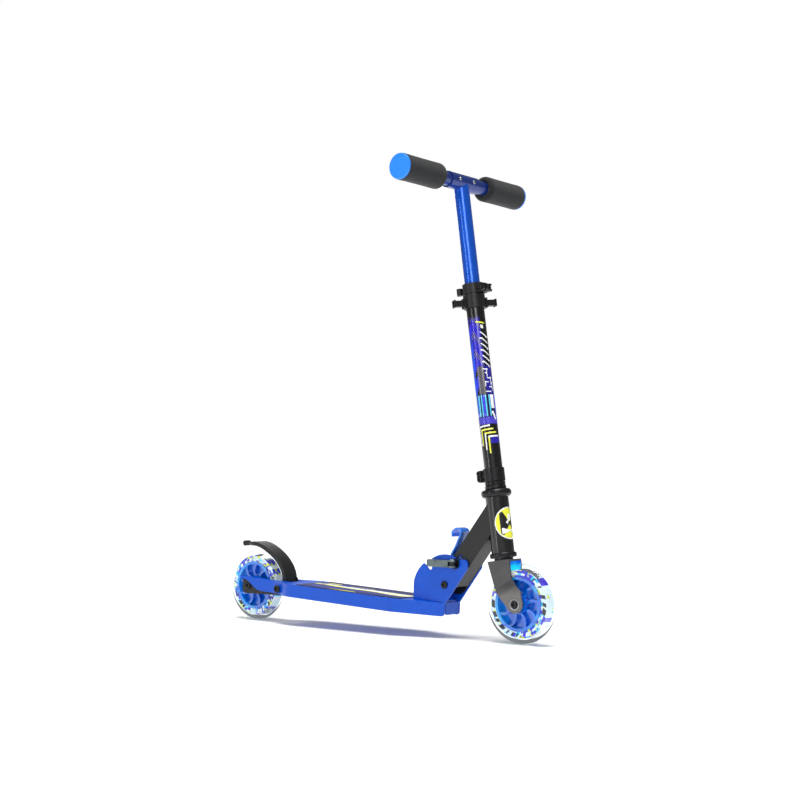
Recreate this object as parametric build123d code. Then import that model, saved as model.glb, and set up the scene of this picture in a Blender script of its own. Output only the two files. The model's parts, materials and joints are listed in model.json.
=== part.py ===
from build123d import *
from math import atan2, cos, degrees, radians, sin, sqrt
import os

# A child's folding two-wheel kick scooter. Millimetres, X forward, Y left, Z up.
# The origin is on the ground midway between the two axles. "right" is the -Y side.

# Overall layout
WHEELBASE = 557.5
WHEEL_R = 60.0
BAR_HEIGHT = 713.4            # ground to the centre of the handlebar
BAR_HALF = 153.5              # centre of the bar to the outside of an end cap
STEER_TILT = 8.14             # degrees that the steering axis leans back
FORK_OFFSET = 23.16           # axle ahead of the steering axis
FOLD_ANGLE = 80.0             # degrees between the riding and the folded notch

# Clearances
RUN = 0.05                    # shaft in its bore
GAP = 0.3                     # between faces that move past each other

# Steering frame: s runs up the steering axis from the foot of the front axle, u points forward
T = radians(STEER_TILT)
FRONT_X = WHEELBASE / 2
REAR_X = -WHEELBASE / 2
FOOT = Vector(FRONT_X - FORK_OFFSET * cos(T), 0, WHEEL_R - FORK_OFFSET * sin(T))
STEER = Plane(origin=FOOT, x_dir=(cos(T), 0, sin(T)), z_dir=(-sin(T), 0, cos(T))).location
S_BAR = (BAR_HEIGHT - FOOT.Z) / cos(T)

# Deck
PIVOT_X, PIVOT_Z = WHEELBASE / 2 - 130.5, 82.7
DECK_FRONT_Z = 54.5           # top face at the front end, straight under the pivot
DECK_REAR_Z = 74.56           # top face straight above the rear axle
DECK_SLOPE = degrees(atan2(DECK_REAR_Z - DECK_FRONT_Z, PIVOT_X - REAR_X))
DECK_PAST_AXLE = 19.2
DECK_HALF = 47.0
DECK_NOSE_LENGTH = 87.0
DECK_SHEET = 3.0
SKIRT_SHEET = 2.5
SKIRT_DEPTH = 21.0
TAPE_SHEET = 1.0
SLIT_WIDTH = 1.6              # between the front flap and the side skirts
FLAP_RISE, FLAP_R = 1.5, 6.0  # the flap stops short of the skirts' lower edge, with round corners

# Wheels
WHEEL_HALF_WIDTH = 12.0
RIM_R = 40.8
PRINT_R = 51.0
PRINT_HALF = WHEEL_HALF_WIDTH - 4.0
HUB_HALF = WHEEL_HALF_WIDTH - 0.5
BEARING_R, BEARING_WIDTH = 11.0, 7.0
AXLE_R = 4.0

# Hinge bracket, down tube and head
TUBE_HALF_DEPTH, TUBE_HALF_WIDTH, TUBE_WALL = 16.7, 16.0, 2.0
BRACKET_SHEET = 3.0
BRACKET_IN = TUBE_HALF_WIDTH + 1.0
BRACKET_OUT = BRACKET_IN + BRACKET_SHEET
DOME_R = 47.0
SEAT_R = 39.2                 # pivot to the latch axle in its notch
SEAT_ANGLE = 58.0
LATCH_R = 4.0
LATCH_LIFT = 12.0
TUBE_ANGLE = 51.8
STEERER_R = 12.0
RACE_R = STEERER_R + 4.0      # outside of the headset bearings
HEAD_BORE, HEAD_WALL = RACE_R - 0.5, 2.0
HEAD_R = HEAD_BORE + HEAD_WALL
CROWN_TOP = WHEEL_R + 8.0
HEAD_LOW, HEAD_TOP = CROWN_TOP + 11.0, CROWN_TOP + 96.0

# Steering column
STEM_BORE, STEM_WALL = STEERER_R + 0.1, 1.9
STEM_R = STEM_BORE + STEM_WALL
STEM_LOW, STEM_LENGTH = HEAD_TOP + 24.0, 310.0
STEM_TOP = STEM_LOW + STEM_LENGTH
UPPER_R, UPPER_WALL, UPPER_IN = STEM_BORE - 0.1, 1.8, 130.0
UPPER_LOW = STEM_TOP - UPPER_IN
SLEEVE_R, SLEEVE_HALF = 13.0, 36.0
HANDLE_R, HANDLE_WALL = 11.0, 1.6
GRIP_R, GRIP_START = 20.3, 58.0
BUTTON_Y, BUTTON_R, BUTTON_TRAVEL = 18.0, 3.0, 2.2


def cyl_y(r, y0, y1, x=0.0, z=0.0):
    """A cylinder along Y from y0 to y1."""
    return Pos(x, (y0 + y1) / 2, z) * Rot(X=90) * Cylinder(r, abs(y1 - y0))


def cyl_z(r, z0, z1, x=0.0, y=0.0):
    """A cylinder along Z from z0 to z1."""
    return Pos(x, y, (z0 + z1) / 2) * Cylinder(r, abs(z1 - z0))


def cyl_x(r, x0, x1, y=0.0, z=0.0):
    """A cylinder along X from x0 to x1."""
    return Pos((x0 + x1) / 2, y, z) * Rot(Y=90) * Cylinder(r, abs(x1 - x0))


def block(x0, x1, y0, y1, z0, z1):
    """A box between two corners."""
    return Pos((x0 + x1) / 2, (y0 + y1) / 2, (z0 + z1) / 2) * Box(x1 - x0, y1 - y0, z1 - z0)


def slab(face, y0, y1):
    """A face drawn in X and Z, as thick as y0 to y1."""
    return Pos(0, y1, 0) * extrude(Plane.XZ * face, amount=y1 - y0)


def both_sides(shape):
    """A shape and its mirror image across the middle plane."""
    return shape + mirror(shape, about=Plane.XZ)


def polar(r, angle):
    return (r * cos(radians(angle)), r * sin(radians(angle)))


def hexagon_y(across, y0, y1, x=0.0, z=0.0):
    """A hexagonal prism along Y."""
    prism = extrude(RegularPolygon(across / 2, 6, major_radius=False), amount=abs(y1 - y0) / 2, both=True)
    return Pos(x, (y0 + y1) / 2, z) * Rot(X=90) * prism


def button_head(r, y_seat, thickness, side, x, z):
    """A round screw head with a socket, on the side that side points to."""
    y_top = y_seat + side * thickness
    head = cyl_y(r, y_seat, y_top, x, z)
    rim = head.edges().filter_by(GeomType.CIRCLE).sort_by(Axis.Y)[-1 if side > 0 else 0]
    head = fillet(rim, thickness * 0.45)
    return head - hexagon_y(r * 0.8, y_top, y_top - side * thickness * 0.6, x, z)


def group(place, *shapes):
    """Several separate solids as one node."""
    return Compound(children=[place * s for shape in shapes for s in shape.solids()])


PARTS = {}

# ---------------------------------------------------------------- deck
# Deck frame: x runs forward along the top face from its front end, z is square to it
DECK = Pos(PIVOT_X, 0, DECK_FRONT_Z) * Rot(Y=DECK_SLOPE)


def to_deck(x, z):
    """A point of the row's X and Z in the deck frame."""
    d, e, a = x - PIVOT_X, z - DECK_FRONT_Z, radians(DECK_SLOPE)
    return (d * cos(a) - e * sin(a), d * sin(a) + e * cos(a))


AXLE_U, AXLE_W = to_deck(REAR_X, WHEEL_R)
DECK_LENGTH = -AXLE_U + DECK_PAST_AXLE
TAPER_START, TAPER_END = AXLE_U + 124.8, AXLE_U + 54.8
FENDER_SHEET, FENDER_LIP = 3.0, 2.0
FENDER_HALF = WHEEL_HALF_WIDTH + 0.5 + FENDER_LIP
SLOT_HALF, SLOT_FRONT = FENDER_HALF + 2.0, AXLE_U + 94.8
DECK_NOSE_HALF = BRACKET_OUT + 0.5
DECK_TAIL_HALF = SLOT_HALF + 9.5
FENDER_X, FENDER_Z = REAR_X + 84.0, 59.0
FENDER_U, FENDER_W = to_deck(FENDER_X, FENDER_Z)
FENDER_BOLT_OUT, FENDER_BOSS_R = DECK_TAIL_HALF + 12.0, 7.5
DROPOUT_OUT = DECK_TAIL_HALF - SKIRT_SHEET
DROPOUT_SHEET = 4.0
DROPOUT_IN = DROPOUT_OUT - DROPOUT_SHEET


def deck_outline(inset):
    """The deck seen from above, drawn smaller by inset."""
    wide, nose, tail = DECK_HALF - inset, DECK_NOSE_HALF - inset, DECK_TAIL_HALF - inset
    middle = ((TAPER_START + TAPER_END) / 2, (wide + tail) / 2)
    half = [
        Line((-inset, 0), (-inset, nose)),
        Line((-inset, nose), (-DECK_NOSE_LENGTH, wide)),
        Line((-DECK_NOSE_LENGTH, wide), (TAPER_START, wide)),
        Spline((TAPER_START, wide), middle, (TAPER_END, tail), tangents=[(-1, 0), (-1, 0)]),
        Line((TAPER_END, tail), (-DECK_LENGTH, tail)),
        Line((-DECK_LENGTH, tail), (-DECK_LENGTH, 0)),
    ]
    face = make_face(Curve() + half + [Line((-DECK_LENGTH, 0), (-inset, 0))])
    return face + mirror(face, about=Plane.XZ)


def sweep_cut():
    """What the rising lower edge at the tail takes off the skirts, seen from the side."""
    low = -SKIRT_DEPTH - 5
    edge = Spline((AXLE_U + 42, -SKIRT_DEPTH), (AXLE_U + 19, -17.5), (AXLE_U, AXLE_W + 8.4),
                  (-DECK_LENGTH, -DECK_SHEET + 0.4), tangents=[(-1, 0), (-1, 0.12)])
    rest = Polyline((-DECK_LENGTH, -DECK_SHEET + 0.4), (-DECK_LENGTH - 9, -DECK_SHEET + 1.4),
                    (-DECK_LENGTH - 9, low), (AXLE_U + 42, low), (AXLE_U + 42, -SKIRT_DEPTH))
    return slab(make_face(Curve() + [edge, rest]), -DECK_HALF - 9, DECK_HALF + 9)


def make_deck():
    shell = extrude(deck_outline(0), amount=-SKIRT_DEPTH)
    hollow = Pos(0, 0, -DECK_SHEET) * extrude(deck_outline(SKIRT_SHEET), amount=-SKIRT_DEPTH)
    tail_open = block(-DECK_LENGTH - 9, -DECK_LENGTH + 9, -DROPOUT_OUT, DROPOUT_OUT,
                      -SKIRT_DEPTH - 9, -DECK_SHEET)
    slot = block(-DECK_LENGTH - 9, SLOT_FRONT, -SLOT_HALF, SLOT_HALF, -SKIRT_DEPTH - 9, 9)
    nose_r = 6.0
    corner = slab(make_face(Curve() + [
        Line((-nose_r, -SKIRT_DEPTH), (9, -SKIRT_DEPTH)),
        Line((9, -SKIRT_DEPTH), (9, -SKIRT_DEPTH + nose_r)),
        Line((9, -SKIRT_DEPTH + nose_r), (0, -SKIRT_DEPTH + nose_r)),
        ThreePointArc((0, -SKIRT_DEPTH + nose_r),
                      (-nose_r * 0.293, -SKIRT_DEPTH + nose_r * 0.293), (-nose_r, -SKIRT_DEPTH))]),
        -DECK_HALF, DECK_HALF)
    flap = DECK_NOSE_HALF - SKIRT_SHEET - SLIT_WIDTH
    slits = both_sides(block(-SKIRT_SHEET - 1.2, 1, flap, flap + SLIT_WIDTH, -SKIRT_DEPTH - 1, -DECK_SHEET))
    low = -SKIRT_DEPTH + FLAP_RISE
    slits += block(-SKIRT_SHEET - 0.1, 1, -flap - 0.5, flap + 0.5, -SKIRT_DEPTH - 1, low)
    notch_corner = block(-SKIRT_SHEET - 0.1, 1, flap - FLAP_R, flap + 0.5, low - 1, low + FLAP_R)
    notch_corner -= cyl_x(FLAP_R, -SKIRT_SHEET - 1, 2, flap - FLAP_R, low + FLAP_R)
    slits += both_sides(notch_corner)
    body = shell - hollow - tail_open - slot - corner - slits - sweep_cut()
    body += both_sides(cyl_y(FENDER_BOSS_R, DROPOUT_OUT + SKIRT_SHEET, FENDER_BOLT_OUT, FENDER_U, FENDER_W))
    body -= cyl_y(LATCH_R + RUN, -DECK_HALF, DECK_HALF, FENDER_U, FENDER_W)
    return DECK * max(body.solids(), key=lambda s: s.volume)


def tape_outline():
    """The grip sheet: a little smaller than the deck, short of the hinge bracket."""
    front, rear, margin = -76.0, TAPER_START + 6.0, 4.0
    slant = (DECK_HALF - DECK_NOSE_HALF) / DECK_NOSE_LENGTH
    nose = DECK_NOSE_HALF + slant * -front - margin
    pts = [(front, nose), (-DECK_NOSE_LENGTH, DECK_HALF - margin), (rear, DECK_HALF - margin),
           (rear, -DECK_HALF + margin), (-DECK_NOSE_LENGTH, -DECK_HALF + margin), (front, -nose)]
    return make_face(Polyline(*pts, close=True))


def make_dropout(side):
    """The black plate that carries one end of the rear axle, inside the skirt."""
    top = -DECK_SHEET
    pts = [(AXLE_U - 14.5, top), (AXLE_U - 14.5, top - 20), (AXLE_U - 9, AXLE_W - 14),
           (AXLE_U + 40, AXLE_W - 11.5), (FENDER_U + 4, -SKIRT_DEPTH - 2.5), (FENDER_U + 12, -SKIRT_DEPTH + 3),
           (FENDER_U + 12, top)]
    plate = slab(make_face(Polyline(*pts, close=True)), DROPOUT_IN, DROPOUT_OUT)
    plate -= cyl_y(AXLE_R + RUN, 0, 99, AXLE_U, AXLE_W)
    plate -= cyl_y(LATCH_R + RUN, 0, 99, FENDER_U, FENDER_W)
    return DECK * (plate if side > 0 else mirror(plate, about=Plane.XZ))


PARTS["deck"] = make_deck()
PARTS["grip_tape"] = DECK * extrude(tape_outline(), amount=TAPE_SHEET)
PARTS["rear_dropout_left"] = make_dropout(1)
PARTS["rear_dropout_right"] = make_dropout(-1)

# ---------------------------------------------------------------- hinge bracket
HINGE = Pos(PIVOT_X, 0, PIVOT_Z)
SLOPE = sin(radians(DECK_SLOPE)) / cos(radians(DECK_SLOPE))
PIVOT_RISE = PIVOT_Z - DECK_FRONT_Z


def on_deck(x):
    """Height of the deck's top face at x ahead of the pivot, measured from the pivot."""
    return -PIVOT_RISE - SLOPE * x


def notch(angle):
    """A round-bottomed slot that opens outwards from the latch axle's seat."""
    half = LATCH_R + GAP
    face = Pos(SEAT_R + 15, 0) * Rectangle(30, 2 * half) + Pos(SEAT_R, 0) * Circle(half)
    return slab(Rot(Z=angle) * face, -60, 60)


def make_hinge_plate():
    """One bracket cheek: a dome about the pivot, with a notch for riding and one for folded."""
    front_angle, rear_angle = SEAT_ANGLE + 4, SEAT_ANGLE + FOLD_ANGLE
    a, b = (-62.0, on_deck(-62.0)), (-61.5, 2.0)
    peak = (-41.5, 31.6)
    d0, d1 = polar(DOME_R, rear_angle), polar(DOME_R, front_angle)
    dm = polar(DOME_R, (rear_angle + front_angle) / 2)
    f, fm, g, h = (33.0, 40.0), (40.5, 38.5), (43.6, 31.0), (42.6, 25.6)
    i = (0.9, on_deck(0.9))
    edges = [
        Line(a, b), ThreePointArc(b, (-54.0, 19.0), peak), Line(peak, d0),
        ThreePointArc(d0, dm, d1), Line(d1, f), ThreePointArc(f, fm, g), Line(g, h), Line(h, i), Line(i, a),
    ]
    plate = slab(make_face(Curve() + edges), BRACKET_IN, BRACKET_OUT)
    plate -= notch(SEAT_ANGLE) + notch(rear_angle)
    return plate - cyl_y(AXLE_R + RUN, 0, 60)


plate = make_hinge_plate()
PARTS["hinge_plate_left"] = HINGE * plate
PARTS["hinge_plate_right"] = HINGE * mirror(plate, about=Plane.XZ)
FLOOR_SHEET, FLOOR_LENGTH = 3.0, 58.0
RIVET_R = 4.5
floor = block(-FLOOR_LENGTH - 3, -3, -BRACKET_IN, BRACKET_IN, 0, FLOOR_SHEET)
for x in (-14.0, -32.0, -50.0):
    floor += cyl_z(RIVET_R, 1.0, FLOOR_SHEET + 1.8, x)
PARTS["hinge_floor"] = DECK * floor

# pivot bolt, nut and the thin washers beside the down tube
WASHER_IN = TUBE_HALF_WIDTH + 0.1
bolt = cyl_y(AXLE_R, -BRACKET_OUT, BRACKET_OUT + 6) + button_head(5.8, -BRACKET_OUT, 3.2, -1, 0, 0)
PARTS["pivot_bolt"] = HINGE * bolt
washer = cyl_y(8.0, WASHER_IN, BRACKET_IN - 0.1) - cyl_y(AXLE_R + RUN, 0, 60)
nut = hexagon_y(13.0, BRACKET_OUT, BRACKET_OUT + 5.5) - cyl_y(AXLE_R + RUN, 0, 60)
PARTS["pivot_nut_and_washers"] = group(HINGE, nut, washer, mirror(washer, about=Plane.XZ))

# ---------------------------------------------------------------- down tube and head tube
TUBE = HINGE * Rot(Y=-TUBE_ANGLE)     # x runs up the tube, z towards its rear face
SEAT = polar(SEAT_R, SEAT_ANGLE)
MEET = ((FOOT.X + FOOT.Z * sin(T) / cos(T)) - PIVOT_X - PIVOT_Z * sin(T) / cos(T)) / (
    cos(radians(TUBE_ANGLE)) + sin(radians(TUBE_ANGLE)) * sin(T) / cos(T))
PLATE_EDGE = 9.65                     # the front and rear walls stop this far above the pivot


def make_down_tube():
    d, w, t = TUBE_HALF_DEPTH, TUBE_HALF_WIDTH, TUBE_WALL
    outer = block(0, MEET + 20, -w, w, -d, d) + cyl_y(d, -w, w)
    inner = block(-d - 1, MEET + 40, -w + t, w - t, -d + t, d - t)
    fork = block(-d - 1, PLATE_EDGE, -w + t, w - t, -d - 1, d + 1)
    window = block(PLATE_EDGE + 16, SEAT_R + LATCH_LIFT + 14, -11.0, 11.0, d - t - 1, d + 1)
    tube = outer - inner - fork - window - cyl_y(AXLE_R + RUN, -60, 60)
    tube = TUBE * tube
    half = LATCH_R + GAP
    face = Pos(SEAT_R + LATCH_LIFT / 2, 0) * Rectangle(LATCH_LIFT, 2 * half)
    face += Pos(SEAT_R, 0) * Circle(half) + Pos(SEAT_R + LATCH_LIFT, 0) * Circle(half)
    tube -= HINGE * slab(Rot(Z=SEAT_ANGLE) * face, -60, 60)
    tube -= STEER * (cyl_z(HEAD_R, 0, 300) + block(0, 90, -60, 60, 0, 300))
    return max(tube.solids(), key=lambda s: s.volume)


def make_head_tube():
    return STEER * (cyl_z(HEAD_R, HEAD_LOW, HEAD_TOP) - cyl_z(HEAD_BORE, 0, 300))


CUP_SPIGOT = 8.0
TOP_CUP_R, TOP_CUP_HEIGHT = HEAD_R + 5.5, 12.0
LOW_CUP_R, LOW_CUP_HEIGHT = HEAD_R + 3.0, 7.5
STEERER_FREE = STEERER_R + 1.2


def make_top_cup():
    flange = cyl_z(TOP_CUP_R, HEAD_TOP, HEAD_TOP + TOP_CUP_HEIGHT)
    flange = fillet(flange.edges().filter_by(GeomType.CIRCLE), 5.2)
    cup = flange + cyl_z(HEAD_BORE - RUN, HEAD_TOP - CUP_SPIGOT, HEAD_TOP + 1)
    cup -= cyl_z(RACE_R, HEAD_TOP + 4, HEAD_TOP + 30) + cyl_z(STEERER_FREE, 0, 300)
    return STEER * cup


def make_low_cup():
    flange = cyl_z(LOW_CUP_R, HEAD_LOW - LOW_CUP_HEIGHT, HEAD_LOW)
    flange = fillet(flange.edges().filter_by(GeomType.CIRCLE), 2.0)
    cup = flange + cyl_z(HEAD_BORE - RUN, HEAD_LOW - 1, HEAD_LOW + CUP_SPIGOT)
    cup -= cyl_z(RACE_R, 0, HEAD_LOW - 2.5) + cyl_z(STEERER_FREE, 0, 300)
    return STEER * cup


def race(s0, s1):
    """A headset bearing that runs on the steerer."""
    return cyl_z(RACE_R - RUN, s0, s1) - cyl_z(STEERER_R + RUN, 0, 300)


PARTS["down_tube"] = make_down_tube()
PARTS["head_tube"] = make_head_tube()
PARTS["headset_cup_top"] = make_top_cup()
PARTS["headset_cup_bottom"] = make_low_cup()
PARTS["headset_bearings"] = group(STEER, race(HEAD_TOP + 4, HEAD_TOP + TOP_CUP_HEIGHT - 0.2),
                                  race(HEAD_LOW - LOW_CUP_HEIGHT + 0.2, HEAD_LOW - 2.5))

# ---------------------------------------------------------------- latch: axle, release hook and lever
LATCH = HINGE * Pos(SEAT[0], 0, SEAT[1])
LEVER_Y = -BRACKET_OUT - 7.5           # the cam pin stands this far right of the middle
LEVER_TIP = -48.7
LEVER_HALF_HEIGHT = 5.7
LEVER_HALF_SHEET = 2.5
EYE_HALF = 3.2
PIN_R = 2.0


def make_latch_axle():
    """The latch axle, in three lengths: between the cheeks, and outside each of them."""
    middle = cyl_y(LATCH_R, -BRACKET_IN + 0.2, BRACKET_IN - 0.2)
    near = cyl_y(EYE_HALF - 0.3, -BRACKET_OUT - GAP, LEVER_Y) + cyl_z(4.4, -EYE_HALF + 0.3, EYE_HALF - 0.3, 0, LEVER_Y)
    near -= cyl_z(PIN_R + RUN, -9, 9, 0, LEVER_Y)
    far = cyl_y(EYE_HALF - 0.3, BRACKET_OUT + GAP, BRACKET_OUT + 8)
    return Compound(children=[LATCH * s for s in (middle, near, far)])


def make_fold_lever():
    """A flat lever with a round cam end that straddles the eye of the axle."""
    face = Rectangle(-LEVER_TIP, 2 * LEVER_HALF_SHEET)
    bar = extrude(Pos(LEVER_TIP / 2, LEVER_Y) * face, amount=LEVER_HALF_HEIGHT, both=True)
    tip_edges = bar.edges().filter_by(Axis.Y).group_by(Axis.X)[0]
    bar = fillet(tip_edges, 2.5)
    cam_r = -LEVER_Y - BRACKET_OUT - GAP - 1.4 - GAP
    bar += cyl_z(cam_r, -LEVER_HALF_HEIGHT, LEVER_HALF_HEIGHT, 0, LEVER_Y)
    bar -= cyl_z(8.0, -EYE_HALF, EYE_HALF, 0, LEVER_Y)
    return LATCH * (bar + cyl_z(PIN_R, -LEVER_HALF_HEIGHT, LEVER_HALF_HEIGHT, 0, LEVER_Y))


def washer_y(r, bore, y0, y1):
    return cyl_y(r, y0, y1) - cyl_y(bore, -99, 99)


HOOK_HALF = 10.0
HOOK_SHEET = 2.4


def make_release_hook():
    """A bent strip from an eye on the latch axle, out through the tube's rear window, up to a finger hook."""
    path = [(0, 0), (-17.5, 11.5), (-7.5, 26.5), (1.5, 44.5)]
    curl = [(3.6, 52.0), (-6.5, 54.6), (-14.6, 49.0), (-14.2, 41.0)]
    line = FilletPolyline(*path, *curl, radius=[4, 14, 6, 3.6, 5.5, 5])
    section = Plane(origin=line @ 0, x_dir=(0, 0, 1), z_dir=line % 0)
    strip = sweep(section * Rectangle(2 * HOOK_HALF, HOOK_SHEET), path=line)
    strip = Rot(X=90) * strip
    strip += cyl_y(LATCH_R + 3.2, -HOOK_HALF, HOOK_HALF)
    return LATCH * (strip - cyl_y(LATCH_R + RUN, -60, 60))


PARTS["latch_axle"] = make_latch_axle()
near_washer = washer_y(8.0, EYE_HALF - 0.3 + RUN, -BRACKET_OUT - GAP - 1.4, -BRACKET_OUT - GAP)
far_nut = hexagon_y(12.0, BRACKET_OUT + GAP, BRACKET_OUT + 6.5) - cyl_y(EYE_HALF - 0.3 + RUN, 0, 99)
PARTS["latch_washer_and_nut"] = group(LATCH, near_washer, far_nut)
PARTS["release_hook"] = make_release_hook()
PARTS["fold_lever"] = make_fold_lever()

# ---------------------------------------------------------------- fork and steerer
BLADE_SHEET, BLADE_IN, BLADE_FLARE = 3.0, WHEEL_HALF_WIDTH + 1.5, 2.5
BOSS_R = 13.5
CROWN_REAR, CROWN_FRONT = -19.5, 20.5
BEND_REAR, BEND_FRONT = (-10.7, 24.1), (20.0, 38.5)


def blade_outline():
    boss = (FORK_OFFSET, 0)
    left = (boss[0] + BOSS_R * cos(radians(214)), BOSS_R * sin(radians(214)))
    bottom, right = (boss[0], -BOSS_R), (boss[0] + BOSS_R, 0)
    pts = [(BOSS_R + boss[0] - 1.0, 18.0), (CROWN_FRONT, 39.0), (CROWN_FRONT, CROWN_TOP),
           (CROWN_REAR, CROWN_TOP), (BEND_REAR[0], BEND_REAR[1])]
    edges = [Line(left, BEND_REAR), ThreePointArc(left, bottom, right), Line(right, pts[0])]
    edges += [Line(p, q) for p, q in zip(pts, pts[1:])]
    return make_face(Curve() + edges)


def make_fork():
    """Pressed from one sheet: a flat crown and two blades that step out below the bend."""
    angle = atan2(BEND_FRONT[1] - BEND_REAR[1], BEND_FRONT[0] - BEND_REAR[0])
    along, down = (cos(angle), 0, sin(angle)), (sin(angle), 0, -cos(angle))
    bend = Plane(origin=(BEND_REAR[0], 0, BEND_REAR[1]), x_dir=down, z_dir=along)
    y0, y1, step = BLADE_IN, BLADE_IN + BLADE_SHEET, 13.0
    section = Polyline((-80, y0), (0, y0), (step, y0 + BLADE_FLARE), (80, y0 + BLADE_FLARE),
                       (80, y1 + BLADE_FLARE), (step, y1 + BLADE_FLARE), (0, y1), (-80, y1), close=True)
    sheet = extrude(bend * make_face(section), amount=90, both=True)
    blade = slab(blade_outline(), 0, 40) & sheet
    blade -= cyl_y(AXLE_R + RUN, 0, 60, FORK_OFFSET, 0)
    crown = block(CROWN_REAR, CROWN_FRONT, -BLADE_IN - 1, BLADE_IN + 1, CROWN_TOP - BLADE_SHEET, CROWN_TOP)
    return STEER * (both_sides(blade) + crown - cyl_z(STEERER_R + RUN, 0, 200))


STEERER_TOP = STEM_LOW + 27.0
PARTS["fork"] = make_fork()
PARTS["steerer_tube"] = STEER * (cyl_z(STEERER_R, CROWN_TOP - BLADE_SHEET, STEERER_TOP) - cyl_z(STEERER_R - 2.5, 0, 300))
crown_race = cyl_z(STEERER_R + 2.5, CROWN_TOP, HEAD_LOW - LOW_CUP_HEIGHT - GAP) - cyl_z(STEERER_R + RUN, 0, 200)
NUT_LOW = HEAD_TOP + TOP_CUP_HEIGHT + GAP
cone = cyl_z(STEERER_R + 4.2, NUT_LOW, NUT_LOW + 5.4)
cone = chamfer(cone.edges().filter_by(GeomType.CIRCLE), 0.8)
lock = cyl_z(STEERER_R + 3.6, NUT_LOW + 5.6, STEM_LOW - 0.2)
lock = chamfer(lock.edges().filter_by(GeomType.CIRCLE), 0.8)
steerer_hole = cyl_z(STEERER_R + RUN, 0, 300)
PARTS["crown_race_and_headset_nuts"] = group(STEER, crown_race, cone - steerer_hole, lock - steerer_hole)

# ---------------------------------------------------------------- lower stem and its clamp
SLIT = 1.5
stem = cyl_z(STEM_R, STEM_LOW, STEM_TOP) - cyl_z(STEM_BORE, 0, 600)
stem -= block(0, 20, -SLIT, SLIT, STEM_TOP - 26, STEM_TOP + 1)
stem -= block(-20, 0, -SLIT, SLIT, STEM_LOW - 1, STEM_LOW + 26)
PARTS["lower_stem"] = STEER * stem

COLLAR_WALL = 2.2
COLLAR_R = STEM_R + RUN + COLLAR_WALL


def collar(s0, s1, ear_side, ear_reach, ear_half):
    """A split clamp collar round the stem, with two ears on the side that ear_side points to."""
    ring = cyl_z(COLLAR_R, s0, s1)
    x0, x1 = sorted((ear_side * STEM_R, ear_side * ear_reach))
    ears = block(x0, x1, -ear_half, ear_half, s0 + 0.8, s1 - 0.8)
    ears = fillet(ears.edges().filter_by(Axis.Y).group_by(Axis.X)[-1 if ear_side > 0 else 0], 5.5)
    x0, x1 = sorted((0, ear_side * (ear_reach + 1)))
    return ring + ears - block(x0, x1, -SLIT, SLIT, s0 - 1, s1 + 1) - cyl_z(STEM_R + RUN, 0, 600)


LOW_CLAMP = (STEM_LOW + 0.3, STEM_LOW + 20.3)
LOW_BOLT_U, LOW_EAR_HALF, LOW_BOLT_R = COLLAR_R + 5.75, 7.0, 2.5
LOW_EAR_REACH = LOW_BOLT_U + 6.0
low_bolts = [(-LOW_BOLT_U, s) for s in (LOW_CLAMP[0] + 5.4, LOW_CLAMP[1] - 5.4)]
low_collar = collar(*LOW_CLAMP, -1, LOW_EAR_REACH, LOW_EAR_HALF)
for x, s in low_bolts:
    low_collar -= cyl_y(LOW_BOLT_R + RUN, -30, 30, x, s)
PARTS["lower_clamp"] = STEER * low_collar


def clamp_bolt(x, s):
    shaft = cyl_y(LOW_BOLT_R, -LOW_EAR_HALF, LOW_EAR_HALF + 4.5, x, s)
    return shaft + button_head(4.3, -LOW_EAR_HALF, 4.0, -1, x, s)


def clamp_nut(x, s):
    nut = hexagon_y(8.0, LOW_EAR_HALF, LOW_EAR_HALF + 3.8, x, s)
    return nut - cyl_y(LOW_BOLT_R + RUN, -30, 30, x, s)


PARTS["lower_clamp_bolts"] = group(STEER, *[f(*p) for p in low_bolts for f in (clamp_bolt, clamp_nut)])

# ---------------------------------------------------------------- height clamp with its cam lever
TOP_CLAMP = (STEM_TOP - 16.0, STEM_TOP)
SKEWER_U, SKEWER_S, SKEWER_R = COLLAR_R + 3.15, STEM_TOP - 8.0, 2.6
TOP_EAR_REACH, TOP_EAR_HALF = SKEWER_U + 5.1, 7.5
CAM_Y, CAM_R, CAM_EYE_HALF = 14.6, 5.4, 3.0
ARM_R0, ARM_R1, THUMB_R = COLLAR_R + 2.95, COLLAR_R + 7.15, 4.4
top_collar = collar(*TOP_CLAMP, 1, TOP_EAR_REACH, TOP_EAR_HALF)
PARTS["height_clamp"] = STEER * (top_collar - cyl_y(SKEWER_R + RUN, -30, 30, SKEWER_U, SKEWER_S))


def make_skewer():
    rod = cyl_y(SKEWER_R, -TOP_EAR_HALF - 5.4, CAM_Y, SKEWER_U, SKEWER_S)
    rod += cyl_z(4.0, SKEWER_S - CAM_EYE_HALF, SKEWER_S + CAM_EYE_HALF, SKEWER_U, CAM_Y)
    return rod - cyl_z(PIN_R + RUN, 0, 600, SKEWER_U, CAM_Y)


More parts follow.
